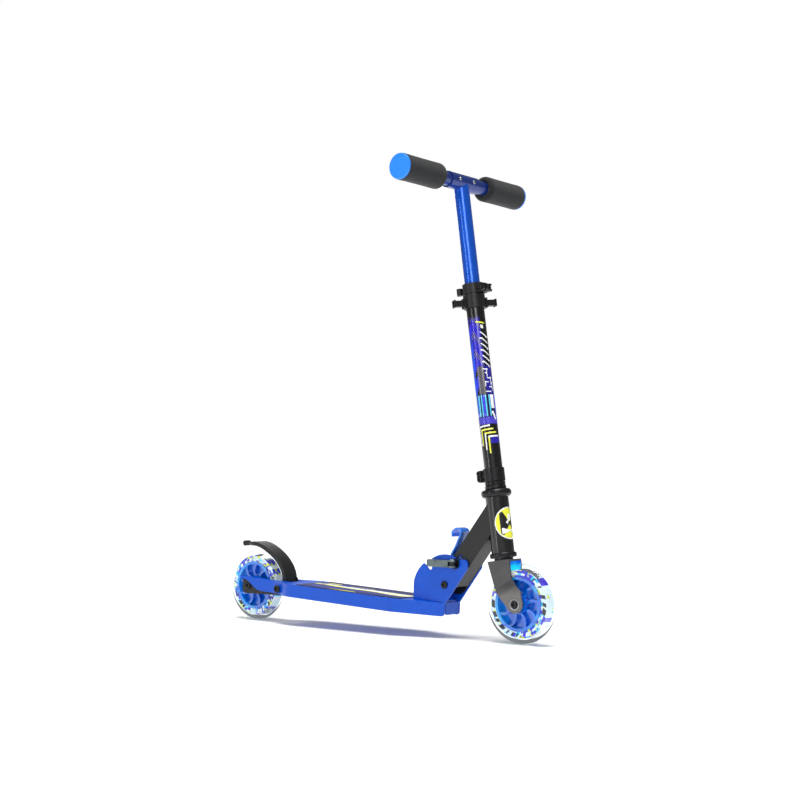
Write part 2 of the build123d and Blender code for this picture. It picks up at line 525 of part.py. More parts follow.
def make_clamp_lever():
    """A cam end on the skewer's pin and an arm that hugs the collar round to the back."""
    half = 5.6
    ring = Circle(ARM_R1) - Circle(ARM_R0)
    wedge_points = [(0, 0)] + [polar(60, a) for a in range(44, 187, 20)] + [polar(60, 188)]
    arm = extrude(ring & make_face(Polyline(*wedge_points, close=True)), amount=half, both=True)
    start = polar((ARM_R0 + ARM_R1) / 2, 46)
    bridge = make_face(Polyline((SKEWER_U - 1, CAM_Y - CAM_R + 1.2), (SKEWER_U + 3.4, CAM_Y + CAM_R - 1.3),
                                (start[0] + 2.6, start[1] + 3.0), (start[0] - 1.2, start[1] - 2.0), close=True))
    arm += extrude(bridge, amount=half, both=True)
    arm += Pos(*polar(ARM_R1 + THUMB_R - 3.4, 187), 0) * Cylinder(THUMB_R, 2 * half)
    arm += cyl_z(CAM_R, -half, half, SKEWER_U, CAM_Y)
    arm -= cyl_z(CAM_R + 2.6, -CAM_EYE_HALF - GAP, CAM_EYE_HALF + GAP, SKEWER_U, CAM_Y)
    arm += cyl_z(PIN_R, -half, half, SKEWER_U, CAM_Y)
    return STEER * (Pos(0, 0, SKEWER_S) * arm)


CAM_SEAT = CAM_Y - CAM_R - GAP
CAM_WASHER_R, SKEWER_NUT = 4.5, 8.2     # small enough to clear the collar beside the ears
skewer_hole = cyl_y(SKEWER_R + RUN, -30, 30, SKEWER_U, SKEWER_S)
cam_washer = cyl_y(CAM_WASHER_R, TOP_EAR_HALF, CAM_SEAT, SKEWER_U, SKEWER_S) - skewer_hole
skewer_nut = hexagon_y(SKEWER_NUT, -TOP_EAR_HALF - 5.0, -TOP_EAR_HALF, SKEWER_U, SKEWER_S) - skewer_hole
PARTS["clamp_skewer"] = STEER * make_skewer()
PARTS["clamp_skewer_nut"] = group(STEER, cam_washer, skewer_nut)
PARTS["clamp_lever"] = make_clamp_lever()

# ---------------------------------------------------------------- handle clip
CLIP = (STEM_TOP - 39.0, STEM_TOP - 18.0)
CLIP_TURN = -32.0             # degrees that the clip is turned on the stem from square to the bar
CLIP_REACH, CLIP_WALL = STEM_R + 21.5, 3.0
ARM_HALF_W, ARM_HALF_H, ARM_WALL = 4.2, 4.7, 1.5


def make_handle_clip():
    """A plastic collar with two hollow arms that hold the pulled-off handles."""
    mid = (CLIP[0] + CLIP[1]) / 2 - 2
    arm = block(-ARM_HALF_W, ARM_HALF_W, STEM_R + 1, CLIP_REACH, mid - ARM_HALF_H, mid + ARM_HALF_H)
    base = block(-6.5, 6.5, STEM_R + 2.4, STEM_R + 5.6, mid - 7.8, mid + 7.8)
    lip = block(-ARM_HALF_W - 1, ARM_HALF_W + 1, CLIP_REACH - 2.4, CLIP_REACH, mid - ARM_HALF_H - 1, mid + ARM_HALF_H + 1)
    bore = block(-ARM_HALF_W + ARM_WALL, ARM_HALF_W - ARM_WALL, STEM_R + 8, CLIP_REACH + 1,
                 mid - ARM_HALF_H + ARM_WALL, mid + ARM_HALF_H - ARM_WALL)
    arms = both_sides(arm + base + lip - bore)
    ring = cyl_z(STEM_R + RUN + CLIP_WALL, *CLIP)
    return STEER * (Rot(Z=CLIP_TURN) * (ring + arms - cyl_z(STEM_R + RUN, 0, 600)))


PARTS["handle_clip"] = make_handle_clip()

# ---------------------------------------------------------------- upper bar
BAR = STEER * Pos(0, 0, S_BAR)        # y along the bar, x forward, z up the stem
tube = cyl_z(UPPER_R, UPPER_LOW, S_BAR) - cyl_z(UPPER_R - UPPER_WALL, 0, 900)
tube -= cyl_y(SLEEVE_R, -60, 60, 0, S_BAR)
plug = cyl_z(UPPER_R - UPPER_WALL - RUN, UPPER_LOW - 1, UPPER_LOW + 10)
plug += cyl_z(UPPER_R, UPPER_LOW - 4, UPPER_LOW)
PARTS["upper_tube"] = group(STEER, tube, plug - cyl_z(6.0, 0, 900))
sleeve = cyl_y(SLEEVE_R, -SLEEVE_HALF, SLEEVE_HALF) - cyl_y(HANDLE_R + RUN, -60, 60)
for side in (-1, 1):
    sleeve -= cyl_x(BUTTON_R + 0.2, 0, 20, side * BUTTON_Y)
PARTS["bar_sleeve"] = BAR * sleeve

HANDLE_IN = 2.0
CAP_SHEET = 3.4


def make_handle_tube():
    """A thin tube with a keyway from its inner end, which passes the button's stem."""
    end = BAR_HALF - CAP_SHEET
    tube = cyl_y(HANDLE_R, HANDLE_IN, end) - cyl_y(HANDLE_R - HANDLE_WALL, -9, 300)
    keyway = block(0, 20, -9, BUTTON_Y, -BUTTON_R - 0.2, BUTTON_R + 0.2)
    return tube - keyway - cyl_x(BUTTON_R + 0.2, 0, 20, BUTTON_Y)


def make_grip():
    """A foam grip with rounded shoulders."""
    grip = cyl_y(GRIP_R, GRIP_START, BAR_HALF - CAP_SHEET)
    grip = fillet(grip.edges().filter_by(GeomType.CIRCLE).sort_by(Axis.Y)[0], 6.0)
    grip = fillet(grip.edges().filter_by(GeomType.CIRCLE).sort_by(Axis.Y)[-1], 2.0)
    return grip - cyl_y(HANDLE_R, -9, 300)


def make_cap():
    cap = cyl_y(GRIP_R - 0.5, BAR_HALF - CAP_SHEET, BAR_HALF)
    cap = fillet(cap.edges().filter_by(GeomType.CIRCLE).sort_by(Axis.Y)[-1], 1.4)
    return cap + cyl_y(HANDLE_R - HANDLE_WALL - RUN, BAR_HALF - CAP_SHEET - 14, BAR_HALF - CAP_SHEET + 1)


def make_button():
    """A domed button with a flange that stays inside the tube."""
    pin = cyl_x(BUTTON_R, 7.8, SLEEVE_R + 1.9, BUTTON_Y)
    pin = fillet(pin.edges().filter_by(GeomType.CIRCLE).sort_by(Axis.X)[-1], 1.6)
    return pin + cyl_x(4.2, 6.0, 7.8, BUTTON_Y)


for name, flip in (("left", False), ("right", True)):
    pieces = {
        "handle_tube": make_handle_tube(), "grip": make_grip(), "end_cap": make_cap(),
        "snap_button": make_button(),
    }
    for piece, shape in pieces.items():
        PARTS[f"{piece}_{name}"] = BAR * (mirror(shape, about=Plane.XZ) if flip else shape)

# ---------------------------------------------------------------- wheels
SPOKES = 9


def revolve_y(points):
    """A closed outline of (radius, y) points turned about the Y axis."""
    face = make_face(Polyline(*[(r, y, 0) for r, y in points], close=True))
    return revolve(face, axis=Axis.Y)


def make_tyre():
    """A clear tyre with a rounded tread, cast round the printed ring."""
    w, r, flat = WHEEL_HALF_WIDTH, WHEEL_R, WHEEL_R - 9.0
    edges = [
        Line((RIM_R, -w + 1), (flat, -w)), ThreePointArc((flat, -w), (r, 0), (flat, w)),
        Line((flat, w), (RIM_R, w - 1)), Line((RIM_R, w - 1), (RIM_R, -w + 1)),
    ]
    tyre = revolve(make_face(Curve() + edges), axis=Axis.Y)
    return tyre - (cyl_y(PRINT_R + RUN, -PRINT_HALF, PRINT_HALF) - cyl_y(RIM_R, -PRINT_HALF, PRINT_HALF)) - cyl_y(RIM_R, -20, 20)


def make_hub():
    """A rim, a boss with two bearing seats, and curved spokes on a thin web."""
    rim = cyl_y(RIM_R, -WHEEL_HALF_WIDTH + 1, WHEEL_HALF_WIDTH - 1) - cyl_y(RIM_R - 4.5, -20, 20)
    boss = cyl_y(15.0, -HUB_HALF, HUB_HALF)
    web = cyl_y(RIM_R - 4, -1.5, 1.5)
    spoke = [
        ThreePointArc((13.0, 2.0), (26.0, 8.5), (38.0, 4.0)), Line((38.0, 4.0), (38.0, -0.4)),
        ThreePointArc((38.0, -0.4), (26.0, 4.2), (13.0, -2.4)), Line((13.0, -2.4), (13.0, 2.0)),
    ]
    spoke = slab(make_face(Curve() + spoke), -PRINT_HALF, PRINT_HALF)
    hub = rim + boss + web
    for k in range(SPOKES):
        hub += Rot(Y=k * 360 / SPOKES) * spoke
    for y in (-HUB_HALF, HUB_HALF - BEARING_WIDTH):
        hub -= cyl_y(BEARING_R + 0.02, y, y + BEARING_WIDTH)
    return hub - cyl_y(8.0, -20, 20)


def make_bearing(side):
    y0, y1 = sorted((side * HUB_HALF, side * (HUB_HALF - BEARING_WIDTH)))
    ring = cyl_y(BEARING_R, y0, y1) - cyl_y(AXLE_R + RUN, -20, 20)
    groove = cyl_y(9.2, side * HUB_HALF, side * (HUB_HALF - 0.6)) - cyl_y(6.2, -20, 20)
    return ring - groove


def axle_set(x, frame_in, frame_out):
    """The bolt, nut, outer spacers and inner spacer that carry one wheel."""
    head = button_head(6.0, -frame_out, 3.8, -1, x, WHEEL_R)
    bolt = cyl_y(AXLE_R, -frame_out, frame_out + 6.5, x, WHEEL_R) + head
    nut = hexagon_y(12.0, frame_out, frame_out + 6.0, x, WHEEL_R) - cyl_y(AXLE_R + RUN, 0, 60, x, WHEEL_R)
    spacer = cyl_y(6.0, HUB_HALF + 0.1, frame_in, x, WHEEL_R) - cyl_y(AXLE_R + RUN, 0, 60, x, WHEEL_R)
    inner = cyl_y(6.0, -HUB_HALF + BEARING_WIDTH + 0.1, HUB_HALF - BEARING_WIDTH - 0.1, x, WHEEL_R)
    inner -= cyl_y(AXLE_R + RUN, -60, 60, x, WHEEL_R)
    return bolt, nut, Compound(children=[spacer, mirror(spacer, about=Plane.XZ)]), inner


hub, tyre = make_hub(), make_tyre()
bearings = Compound(children=[make_bearing(1), make_bearing(-1)])
print_ring = cyl_y(PRINT_R, -PRINT_HALF + 0.1, PRINT_HALF - 0.1) - cyl_y(RIM_R + RUN, -20, 20)
BLADE_LOW_IN = BLADE_IN + BLADE_FLARE
for name, x, frame_in, frame_out in (
    ("front", FRONT_X, BLADE_LOW_IN, BLADE_LOW_IN + BLADE_SHEET), ("rear", REAR_X, DROPOUT_IN, DROPOUT_OUT)
):
    place = Pos(x, 0, WHEEL_R)
    PARTS[f"{name}_hub"] = place * hub
    PARTS[f"{name}_tyre"] = place * tyre
    PARTS[f"{name}_print_ring"] = place * print_ring
    PARTS[f"{name}_bearings"] = place * bearings
    bolt, nut, spacers, inner = axle_set(x, frame_in, frame_out)
    PARTS[f"{name}_axle"] = bolt
    PARTS[f"{name}_axle_nut"] = nut
    PARTS[f"{name}_axle_spacers"] = Compound(children=[*spacers.children, inner])

# ---------------------------------------------------------------- brake fender
def fender_edge(offset):
    """The fender's line seen from the side, measured from the rear axle, moved outwards by offset."""
    line = [(79.5, 8.0), (79.0, 20.0), (66.0, 43.5), (37.0, 65.0), (3.0, 75.5), (-14.0, 74.2), (-25.0, 73.4)]
    out = []
    for k, (x, z) in enumerate(line):
        before, after = line[max(k - 1, 0)], line[min(k + 1, len(line) - 1)]
        dx, dz = after[0] - before[0], after[1] - before[1]
        size = sqrt(dx * dx + dz * dz)
        out.append((x + offset * dz / size, z - offset * dx / size))
    return out


def make_fender():
    """A curved shoe with side lips, a narrow tail with a rolled end, and two lugs on the pivot bolt."""
    outer, inner, deep = fender_edge(0), fender_edge(-FENDER_SHEET), fender_edge(-FENDER_SHEET - 4.0)

    def band(a, b):
        edges = [Spline(*a), Line(a[-1], b[-1]), Spline(*b[::-1]), Line(b[0], a[0])]
        return make_face(Curve() + edges)

    skin = slab(band(outer, inner), -FENDER_HALF, FENDER_HALF)
    lips = slab(band(outer, deep), FENDER_HALF - FENDER_LIP, FENDER_HALF)
    skin += both_sides(lips)
    plan = [(120, FENDER_HALF + 1), (6, FENDER_HALF + 1), (-6, 12.5), (-15, 8.0), (-21, 6.0), (-40, 5.6)]
    tail = make_face(Polyline(*plan, *[(x, -y) for x, y in plan[::-1]], close=True))
    skin = skin & extrude(tail, amount=120)
    skin += cyl_y(4.7, -5.6, 5.6, -28.5, 71.6)
    lug_x, lug_z = FENDER_X - REAR_X, FENDER_Z - WHEEL_R
    lug = cyl_y(8.0, FENDER_HALF - 2.4, FENDER_HALF, lug_x, lug_z)
    lug += block(lug_x - 8.0, lug_x - 2.0, FENDER_HALF - 2.4, FENDER_HALF, lug_z, 16.0)
    skin += both_sides(lug)
    skin -= cyl_y(LATCH_R + RUN, -60, 60, lug_x, lug_z)
    return Pos(REAR_X, 0, WHEEL_R) * skin


PARTS["brake_fender"] = make_fender()


def make_fender_bolt():
    shaft = cyl_y(LATCH_R, -FENDER_BOLT_OUT, FENDER_BOLT_OUT + 6, FENDER_X, FENDER_Z)
    return shaft + button_head(6.5, -FENDER_BOLT_OUT, 3.4, -1, FENDER_X, FENDER_Z)


fender_nut = hexagon_y(12.0, FENDER_BOLT_OUT, FENDER_BOLT_OUT + 5.5, FENDER_X, FENDER_Z)
fender_nut -= cyl_y(LATCH_R + RUN, 0, 60, FENDER_X, FENDER_Z)
PARTS["fender_bolt"] = group(Pos(0, 0, 0), make_fender_bolt(), fender_nut)
bush = cyl_y(6.5, FENDER_HALF + GAP, DROPOUT_IN - 0.1, FENDER_X, FENDER_Z)
bush -= cyl_y(LATCH_R + RUN, 0, 60, FENDER_X, FENDER_Z)
PARTS["fender_bushes"] = Compound(children=[bush, mirror(bush, about=Plane.XZ)])
coil = Helix(pitch=2.4, height=16.8, radius=5.6)
wire = sweep(Plane(origin=coil @ 0, z_dir=coil % 0) * Circle(0.8), path=coil)
PARTS["fender_spring"] = Pos(FENDER_X, 8.4, FENDER_Z) * Rot(X=90) * wire

os.makedirs("parts", exist_ok=True)
for name, shape in PARTS.items():
    export_step(shape, f"parts/{name}.step")
print(len(PARTS), "nodes")
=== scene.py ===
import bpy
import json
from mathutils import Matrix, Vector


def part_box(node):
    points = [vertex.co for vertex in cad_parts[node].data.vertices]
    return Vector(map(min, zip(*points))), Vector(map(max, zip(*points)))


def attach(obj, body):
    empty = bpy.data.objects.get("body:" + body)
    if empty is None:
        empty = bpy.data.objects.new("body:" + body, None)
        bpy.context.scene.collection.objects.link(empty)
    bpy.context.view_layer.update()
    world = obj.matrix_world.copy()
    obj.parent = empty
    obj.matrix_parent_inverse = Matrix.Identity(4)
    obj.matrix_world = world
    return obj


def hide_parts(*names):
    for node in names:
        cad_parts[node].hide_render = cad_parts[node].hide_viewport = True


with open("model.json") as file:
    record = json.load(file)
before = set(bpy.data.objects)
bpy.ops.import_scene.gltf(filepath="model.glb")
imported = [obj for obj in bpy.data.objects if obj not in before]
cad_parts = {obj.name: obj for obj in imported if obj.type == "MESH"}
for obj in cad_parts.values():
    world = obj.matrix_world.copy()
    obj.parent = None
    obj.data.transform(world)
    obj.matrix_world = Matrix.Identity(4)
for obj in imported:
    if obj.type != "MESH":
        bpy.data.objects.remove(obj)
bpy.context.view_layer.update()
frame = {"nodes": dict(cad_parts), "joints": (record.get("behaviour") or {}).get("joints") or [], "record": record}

import json
import math

import bmesh
import bpy
from mathutils import Matrix, Vector

NODES = frame["nodes"]
JOINTS = {j["name"]: j for j in frame["joints"]}
MM = 0.001                             # metres in a millimetre
PER_M = 1000.0                         # millimetres in a metre
# The steering frame: heights go along UP from FOOT, and turns go from AHEAD towards SIDE, the left.
FOOT = Vector(JOINTS["steering"]["pos_m"])
UP = Vector(JOINTS["steering"]["axis"]).normalized()
SIDE = Vector((0, 1, 0))
AHEAD = SIDE.cross(UP).normalized()
STEM_R, HEAD_R = 14.0, 17.5            # radius of the lower stem and of the head tube, in millimetres
scene = bpy.context.scene


def rgb(code):
    """An sRGB hex colour as linear RGBA."""
    parts = [int(code[i:i + 2], 16) / 255 for i in (1, 3, 5)]
    return tuple(c / 12.92 if c < 0.04045 else ((c + 0.055) / 1.055) ** 2.4 for c in parts) + (1.0,)


# ------------------------------------------------------------------ node expressions
MIX_FACTOR, MIX_BELOW, MIX_ABOVE = 0, 6, 7      # the colour inputs of a mix node
MIX_RESULT = 2                                  # and its colour output


class Ex:
    """A value in a node tree, so that patterns can be written as arithmetic."""

    def __init__(self, tree, socket):
        self.tree, self.socket = tree, socket

    def op(self, kind, *others):
        node = self.tree.nodes.new("ShaderNodeMath")
        node.operation = kind
        for k, value in enumerate((self,) + others):
            feed(self.tree, node.inputs[k], value)
        return Ex(self.tree, node.outputs[0])

    def __add__(self, other):
        return self.op("ADD", other)

    def __sub__(self, other):
        return self.op("SUBTRACT", other)

    def __mul__(self, other):
        return self.op("MULTIPLY", other)

    def __truediv__(self, other):
        return self.op("DIVIDE", other)

    def __gt__(self, other):
        return self.op("GREATER_THAN", other)

    def __lt__(self, other):
        return self.op("LESS_THAN", other)

    def fract(self):
        return self.op("FRACT")

    def floor(self):
        return self.op("FLOOR")

    def abs(self):
        return self.op("ABSOLUTE")

    def between(self, a, b):
        return (self > a) * (self < b)

    def ramp(self, a, b):
        """0 at a and 1 at b, smooth between."""
        node = self.tree.nodes.new("ShaderNodeMapRange")
        node.interpolation_type = "SMOOTHSTEP"
        self.tree.links.new(self.socket, node.inputs["Value"])
        node.inputs["From Min"].default_value, node.inputs["From Max"].default_value = a, b
        return Ex(self.tree, node.outputs["Result"])


def feed(tree, socket, value):
    """Joins an input to an expression, or sets it to a plain value."""
    if isinstance(value, Ex):
        tree.links.new(value.socket, socket)
    else:
        socket.default_value = value


class Mat:
    """A Principled material with helpers for colour mixing, noise and bump."""

    def __init__(self, name, colour, rough, metal=0.0, coat=0.0, coat_rough=0.03, **extra):
        self.mat = bpy.data.materials.new(name)
        self.mat.use_nodes = True
        self.tree = self.mat.node_tree
        self.bsdf = next(n for n in self.tree.nodes if n.type == "BSDF_PRINCIPLED")
        self.set("Base Color", rgb(colour))
        self.set("Roughness", rough)
        self.set("Metallic", metal)
        self.set("Coat Weight", coat)
        self.set("Coat Roughness", coat_rough)
        for key, value in extra.items():
            self.set(key.replace("_", " "), value)
        self.coord = self.tree.nodes.new("ShaderNodeTexCoord").outputs["Object"]
        self.mat.diffuse_color = self.bsdf.inputs["Base Color"].default_value

    def set(self, key, value):
        self.bsdf.inputs[key].default_value = value

    def link(self, key, ex):
        self.tree.links.new(ex.socket, self.bsdf.inputs[key])

    def noise(self, scale, detail, rough=0.5, stretch=None):
        coord = self.coord
        if stretch:
            node = self.tree.nodes.new("ShaderNodeMapping")
            node.inputs["Scale"].default_value = stretch
            self.tree.links.new(coord, node.inputs["Vector"])
            coord = node.outputs[0]
        node = self.tree.nodes.new("ShaderNodeTexNoise")
        node.inputs["Scale"].default_value = scale
        node.inputs["Detail"].default_value = detail
        node.inputs["Roughness"].default_value = rough
        self.tree.links.new(coord, node.inputs["Vector"])
        return Ex(self.tree, node.outputs["Fac"])

    def cell(self, a, b, seed):
        """White noise from two values and a seed."""
        join = self.tree.nodes.new("ShaderNodeCombineXYZ")
        for k, value in enumerate((a, b, seed)):
            feed(self.tree, join.inputs[k], value)
        node = self.tree.nodes.new("ShaderNodeTexWhiteNoise")
        self.tree.links.new(join.outputs[0], node.inputs["Vector"])
        return Ex(self.tree, node.outputs["Value"])

    def dot(self, origin, axis):
        """How far a surface point lies from origin along axis, in millimetres."""
        less = self.tree.nodes.new("ShaderNodeVectorMath")
        less.operation = "SUBTRACT"
        self.tree.links.new(self.coord, less.inputs[0])
        less.inputs[1].default_value = origin
        node = self.tree.nodes.new("ShaderNodeVectorMath")
        node.operation = "DOT_PRODUCT"
        self.tree.links.new(less.outputs[0], node.inputs[0])
        node.inputs[1].default_value = axis
        return Ex(self.tree, node.outputs["Value"]) * PER_M

    def about_stem(self):
        """Height, distance ahead and distance to the left in the steering frame, in millimetres."""
        return self.dot(FOOT, UP), self.dot(FOOT, AHEAD), self.dot(FOOT, SIDE)

    def about_wheel(self, tyre):
        """x and z from a wheel's middle, and the radius there, in millimetres."""
        lo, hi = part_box(tyre)
        mid = (lo + hi) / 2
        x, z = self.dot(mid, (1, 0, 0)), self.dot(mid, (0, 0, 1))
        return x, z, (x * x + z * z).op("SQRT")

    def mottle(self, scale, amount):
        """Faint soft patches, from 0 to amount."""
        return self.noise(scale, 5.0).ramp(0.45, 0.75) * amount

    def paint(self, *layers):
        """Colours the base in layers of (factor, hex colour), the last on top."""
        below = tuple(self.bsdf.inputs["Base Color"].default_value)
        for factor, colour in layers:
            mix = self.tree.nodes.new("ShaderNodeMix")
            mix.data_type = "RGBA"
            feed(self.tree, mix.inputs[MIX_FACTOR], factor)
            feed(self.tree, mix.inputs[MIX_BELOW], below)
            feed(self.tree, mix.inputs[MIX_ABOVE], rgb(colour))
            below = Ex(self.tree, mix.outputs[MIX_RESULT])
        self.link("Base Color", below)
        return self

    def shine_as_painted(self):
        """Gives the light that the surface sends out the colour of its paint."""
        painted = self.bsdf.inputs["Base Color"].links[0].from_socket
        self.link("Emission Color", Ex(self.tree, painted))

    def bump(self, height, distance, strength):
        node = self.tree.nodes.new("ShaderNodeBump")
        node.inputs["Distance"].default_value = distance
        node.inputs["Strength"].default_value = strength
        self.tree.links.new(height.socket, node.inputs["Height"])
        self.tree.links.new(node.outputs[0], self.bsdf.inputs["Normal"])
        return self

    def grain(self, scale, detail, distance, strength):
        """A fine bump from noise."""
        return self.bump(self.noise(scale, detail), distance, strength)

    def rough(self, low, high, scale):
        self.link("Roughness", self.noise(scale, 4.0).ramp(0.3, 0.7) * (high - low) + low)
        return self


# ------------------------------------------------------------------ materials
M = {}


def worn(name, colour, rough, shade, scale, amount, **extra):
    """A material mottled with a second shade, kept in M under its name."""
    m = M[name] = Mat(name, colour, rough, **extra)
    return m.paint((m.mottle(scale, amount), shade))


worn("blue_paint", "#024fc4", 0.42, "#0244a8", 60.0, 0.25,
     coat=0.12, coat_rough=0.12, Specular_IOR_Level=0.25)
M["blue_paint"].rough(0.26, 0.36, 30).grain(900, 2.0, 0.00003, 0.35)
worn("blue_metallic", "#0a5ad4", 0.3, "#0848b8", 400, 0.3, metal=0.5, coat=0.5, coat_rough=0.06)
M["blue_metallic"].rough(0.26, 0.34, 60)
worn("blue_dark", "#0b2f80", 0.36, "#08246a", 300, 0.4, metal=0.35, coat=0.5, coat_rough=0.1)
worn("blue_hook", "#1478ea", 0.32, "#0c58cc", 80, 0.3, coat=0.7, coat_rough=0.05)
worn("black_paint", "#08080a", 0.32, "#0f0f12", 200, 0.3, coat=0.4, coat_rough=0.08).rough(0.26, 0.36, 40)
worn("black_satin", "#08080a", 0.45, "#0f0f10", 150, 0.4, coat=0.05, coat_rough=0.2)
worn("black_steel", "#2b2b2d", 0.33, "#1b1b1c", 300, 0.5, metal=0.7).rough(0.25, 0.42, 120)
worn("steel", "#a9abae", 0.28, "#77797c", 300, 0.4, metal=1.0).rough(0.2, 0.36, 200)
worn("lever_metal", "#6d7a7c", 0.3, "#3f4647", 120, 0.6, metal=0.85)
worn("black_plastic", "#0a0a0b", 0.44, "#1a1a1b", 250, 0.4).grain(1500, 2.0, 0.00004, 0.4)
worn("fender_plastic", "#111111", 0.5, "#1b1a1a", 60, 0.5).grain(1300, 3.0, 0.00005, 0.5)
worn("end_cap", "#1f86f4", 0.45, "#187ae4", 90, 0.35)
worn("white_print", "#f4f6f8", 0.3, "#dfe5ea", 200, 0.3, coat=0.8)
worn("cyan_print", "#5fd4f4", 0.28, "#3fb6ea", 200, 0.5, coat=0.8)
worn("yellow_print", "#eef03c", 0.3, "#d8dc6a", 200, 0.3, coat=0.8)
worn("black_print", "#141416", 0.3, "#29292e", 200, 0.3, coat=0.8)
worn("violet_print", "#3a3ce6", 0.3, "#2b2fb8", 200, 0.3, coat=0.8)


def foam_material():
    m = Mat("foam", "#1f2023", 0.95, Sheen_Weight=0.1, Sheen_Roughness=0.5)
    fine = m.noise(1400, 6.0, 0.7)
    m.paint((fine.ramp(0.35, 0.7) * 0.6, "#1b1c1d"), (m.noise(90, 3.0).ramp(0.5, 0.8) * 0.25, "#2e2f31"))
    return m.bump(fine, 0.00035, 0.7)


def clear_material():
    """Clear polyurethane: mostly see-through, with a faint cool tint and a soft gloss."""
    m = Mat("clear_tyre", "#eef7fb", 0.03, Transmission_Weight=1.0, IOR=1.1, coat=0.5)
    return m.grain(140, 2.0, 0.00006, 0.25)


# The lower stem's bands of print, by the height of each one's lower edge, and the print's top.
LABEL_FOOT, LINE_FOOT, BLOCKS_FOOT, HATCH_FOOT, ARROWS_FOOT, PRINT_TOP = 246, 276, 287, 322, 366, 446
FADE = 10                              # the print thins out over this height at its top
FRONT_RIGHT, FRONT_LEFT = -0.66, 1.1   # the stem's plain black front, in radians from straight ahead


def stem_material():
    """Gloss black lower stem: violet ground with black arrows and fine slanted hatching, fading at the top."""
    m = Mat("stem_print", "#08080a", 0.26, coat=0.4, coat_rough=0.06)
    s, u, y = m.about_stem()
    turn = y.op("ARCTAN2", u)
    fade = s.ramp(PRINT_TOP, PRINT_TOP - FADE)
    upper, lower = s.between(ARROWS_FOOT, PRINT_TOP), s.between(HATCH_FOOT, ARROWS_FOOT)
    line = s.between(LINE_FOOT, BLOCKS_FOOT)
    label = s.between(LABEL_FOOT, LABEL_FOOT + 11)
    back = (turn < FRONT_RIGHT) + (turn > FRONT_LEFT)
    middle = turn.between(-1.8, FRONT_RIGHT)
    arrows = (s * 0.034 + (turn + 1.5).abs() * 0.75).fract() < 0.36
    hatch = (s * 0.24 - turn * 3.4).fract() < 0.45
    cross = (s * 0.24 + turn * 3.4).fract() < 0.45
    m.paint((upper * back * fade, "#3426e6"),
            (upper * arrows * back * 0.95, "#06050e"),
            (upper * hatch * middle * fade * 0.85, "#0a0820"),
            (upper * hatch * arrows * middle * fade * 0.7, "#8d84f4"),
            (upper * (turn < -1.75) * s.ramp(440, 372), "#1c54ea"),
            (lower * back, "#0c0a1c"),
            (lower * (arrows < 0.5) * (turn < -1.45), "#2a2ee0"),
            (lower * (hatch + cross) * turn.between(-1.6, -0.8) * 0.6, "#77747c"),
            (lower * (turn < -1.9), "#1f5cf0"),
            (lower * (turn > -0.72) * 0.9, "#241e96"),
            (s.between(BLOCKS_FOOT, HATCH_FOOT), "#10104a"),
            (line * 0.95, "#2a24b8"),
            (line * hatch * 0.4, "#8d84f4"),
            (label * turn.between(-0.9, 0.5) * 0.8, "#2a24b0"))
    return m


def tape_material():
    """The printed grip sheet: navy ground with long flame shapes in yellow and white."""
    m = Mat("deck_print", "#141a54", 0.62)
    lo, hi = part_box("grip_tape")
    x = m.dot(((lo.x + hi.x) / 2, 0, 0), (1, 0, 0)) / ((hi.x - lo.x) / 2 * PER_M)
    y = m.dot((0, 0, 0), (0, 1, 0)) / ((hi.y - lo.y) / 2 * PER_M)
    warp = m.noise(18, 3.0, 0.5, (1, 3, 1)) * 2.4
    wide = (y * 5.2 + warp + x * 1.3).op("SINE")
    narrow = (y * 8.0 - warp * 1.4 + 1.0).op("SINE")
    body = (x.abs() * x.abs() + y.abs() * y.abs() * 1.1).ramp(1.02, 0.9)
    m.paint((body * wide.ramp(0.1, 0.25), "#e9e63a"), (body * wide.ramp(0.72, 0.8), "#f6f6f0"),
            (body * narrow.ramp(0.7, 0.8), "#2a49d8"), (body * narrow.ramp(0.93, 0.97), "#0c0d16"))
    return m.grain(2200, 3.0, 0.00025, 0.8)


def print_material(name, tyre, seed):
    """The print sealed in a clear tyre: blocks of colour, with short slanted strokes that aren't letters."""
    m = Mat(name, "#e8f4fb", 0.35)
    x, z, r = m.about_wheel(tyre)
    turn = z.op("ARCTAN2", x) / math.tau + 0.5
    pick = m.cell((turn * 10.0 + m.noise(50, 2.0) * 0.8).floor(), 0.0, seed)
    small = m.cell((turn * 46.0 + r * 0.05).floor(), (r * 0.3).floor(), seed + 3.0)
    stroke = m.cell((turn * 100.0 + r * 0.16).floor(), 0.0, seed + 5.0)
    blob = m.noise(150, 2.0)
    band = r.between(43.4, 49.4)
    m.paint((pick.between(0.0, 0.3), "#10b8f2"),
            (pick.between(0.3, 0.6), "#0f34d6"),
            (blob > 0.555, "#f2ee20"),
            (small > 0.80, "#f6fbff"),
            (small < 0.16, "#3b1fd0"),
            (small.between(0.3, 0.4), "#12c6f6"),
            ((stroke > 0.45) * band * (pick > 0.66), "#0a0a14"),
            ((stroke > 0.55) * band * pick.between(0.3, 0.45), "#ffffff"))
    # painted glow: the print sends out light in its own colours, though it is no lamp
    m.shine_as_painted()
    m.set("Emission Strength", 0.25)
    return m


def fork_material():
    """Satin grey, with painted blue and cyan wheel light, which also glows, on the inside face of the left blade,
    and painted light on the outer faces of the blades' lower ends.
    """
    m = Mat("fork_paint", "#464647", 0.4, metal=0.2, coat=0.15, coat_rough=0.25)
    s, u, y = m.about_stem()
    # painted light: the inside face of the left blade is painted blue with a cyan pool, and glows in these colours
    inside = y.between(12.9, 13.62) * (s > 18)
    glow = ((s - 46.0).abs() + (u - 8.0).abs() * 0.5).ramp(24, 4) * inside
    # painted light: the outer faces of the blades' lower ends are lighter, where the flared part catches more
    # light from above
    lit_blade_foot = s.ramp(30, 12) * (y.abs() > 15.0)
    m.paint((m.mottle(90, 0.4), "#333232"), (lit_blade_foot * 0.7, "#77736f"),
            (inside, "#0e62ea"), (glow, "#10d8ff"))
    m.shine_as_painted()
    m.link("Emission Strength", inside * 0.6 + glow * 0.5)
    return m.grain(1200, 2.0, 0.00003, 0.4)


